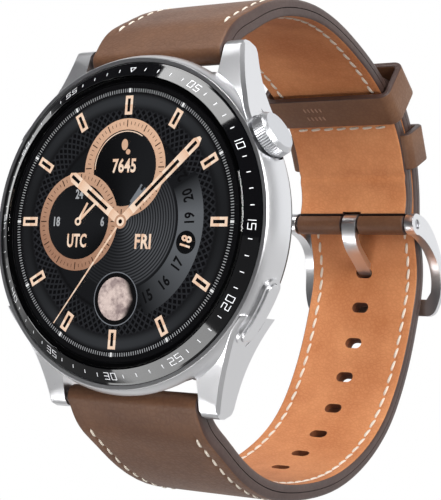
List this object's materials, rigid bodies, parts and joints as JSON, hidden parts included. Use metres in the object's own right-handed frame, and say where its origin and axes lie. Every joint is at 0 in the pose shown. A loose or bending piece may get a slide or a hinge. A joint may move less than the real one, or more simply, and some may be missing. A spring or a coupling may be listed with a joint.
{
  "type": "smartwatch",
  "caption": "Round wrist computer with a flat glass dial, side crown and push button, on a leather strap that closes with a pin buckle and keeper loops.",
  "frame": {"origin": "centre of the sensor window on the case back", "axes": "+X towards 3 o'clock, +Y out of the case back towards the wrist, +Z towards 12 o'clock"},
  "size_m": [0.0458, 0.0745, 0.0717],
  "materials": {
    "crystal_glass": "polished",
    "black_ceramic": "gloss",
    "rubber": "matte",
    "display": "emissive under glass",
    "case_steel": "satin with polished edges",
    "back_plastic": "satin",
    "sensor_glass": "polished",
    "screw_steel": "satin",
    "spring_steel": "drawn wire",
    "frame_plastic": "matte",
    "circuit_board": "solder mask",
    "copper": "bright",
    "battery_foil": "satin",
    "brown_leather": "smooth, faint sheen",
    "tan_leather": "matte grain",
    "keeper_leather": "smooth",
    "buckle_steel": "satin with polished edges"
  },
  "bodies": {
    "case": {"crystal": "crystal_glass", "bezel_ring": "black_ceramic", "crystal_gasket": "rubber", "display_panel": "display", "front_case": "case_steel", "back_cover": "back_plastic", "case_seal": "rubber", "sensor_window": "sensor_glass", "case_screws": "screw_steel", "inner_frame": "frame_plastic", "sensor_board": "circuit_board", "charging_coil": "copper", "battery": "battery_foil", "main_board": "circuit_board", "speaker": "frame_plastic", "vibration_motor": "screw_steel", "antenna": "copper", "crown_tube": "screw_steel", "crown_switch": "frame_plastic", "button_switch": "frame_plastic", "crown_spring": "spring_steel", "button_spring": "spring_steel", "upper_bar_tube": "screw_steel", "upper_bar_fixed_pin": "screw_steel", "upper_bar_spring": "spring_steel", "lower_bar_tube": "screw_steel", "lower_bar_fixed_pin": "screw_steel", "lower_bar_spring": "spring_steel"},
    "crown_carrier": {"crown_washer": "frame_plastic"},
    "crown": {"crown_cap": "case_steel", "crown_stem": "screw_steel", "crown_clip": "screw_steel", "crown_seal": "rubber"},
    "button": {"side_button": "case_steel", "button_plunger": "screw_steel", "button_clip": "screw_steel"},
    "upper_release": {"upper_bar_release_pin": "screw_steel"},
    "lower_release": {"lower_bar_release_pin": "screw_steel"},
    "upper_strap": {"upper_strap_outer": "brown_leather", "upper_strap_lining": "tan_leather", "fixed_keeper": "keeper_leather", "buckle_bar": "screw_steel"},
    "lower_strap": {"lower_strap_outer": "brown_leather", "lower_strap_lining": "tan_leather"},
    "keeper": {"free_keeper": "keeper_leather"},
    "buckle": {"buckle_frame": "buckle_steel"},
    "tongue": {"buckle_tongue": "buckle_steel"}
  },
  "joints": [
    {"name": "crown_press", "type": "slide", "parent": "case", "child": "crown_carrier", "axis": [-0.8704, 0, -0.4924], "range_m": [0, 0.0004], "stiffness_N_per_m": 2500, "springref_m": -0.0002, "deforming": ["crown_spring"]},
    {"name": "crown_turn", "type": "hinge", "parent": "crown_carrier", "child": "crown", "pos_m": [0.02045, -0.0066, 0.01157], "axis": [0.8704, 0, 0.4924], "continuous": true},
    {"name": "button_press", "type": "slide", "parent": "case", "child": "button", "axis": [-0.8746, 0, 0.4848], "range_m": [0, 0.0004], "stiffness_N_per_m": 2500, "springref_m": -0.0002, "deforming": ["button_spring"]},
    {"name": "upper_release_slide", "type": "slide", "parent": "case", "child": "upper_release", "axis": [-1, 0, 0], "range_m": [0, 0.0012], "stiffness_N_per_m": 500, "springref_m": -0.001, "deforming": ["upper_bar_spring"]},
    {"name": "lower_release_slide", "type": "slide", "parent": "case", "child": "lower_release", "axis": [-1, 0, 0], "range_m": [0, 0.0012], "stiffness_N_per_m": 500, "springref_m": -0.001, "deforming": ["lower_bar_spring"]},
    {"name": "upper_strap_pivot", "type": "hinge", "parent": "case", "child": "upper_strap", "pos_m": [0, -0.0039, 0.0232], "axis": [1, 0, 0], "range_deg": [-0.25, 0.25]},
    {"name": "lower_strap_pivot", "type": "hinge", "parent": "case", "child": "lower_strap", "pos_m": [0, -0.0039, -0.0232], "axis": [1, 0, 0], "range_deg": [-0.25, 0.25]},
    {"name": "free_keeper_slide", "type": "slide", "parent": "upper_strap", "child": "keeper", "axis": [0, 0.8168, -0.5769], "range_m": [-0.0012, 0.0004]},
    {"name": "buckle_frame_pivot", "type": "hinge", "parent": "upper_strap", "child": "buckle", "pos_m": [0, 0.0532, 0.0073], "axis": [1, 0, 0], "range_deg": [-2.5, 0]},
    {"name": "buckle_tongue_pivot", "type": "hinge", "parent": "upper_strap", "child": "tongue", "pos_m": [0, 0.0532, 0.0073], "axis": [1, 0, 0], "range_deg": [0, 3]}
  ],
  "couplings": [
    {"joint": "lower_strap_pivot", "follows": "upper_strap_pivot", "ratio": 1}
  ]
}
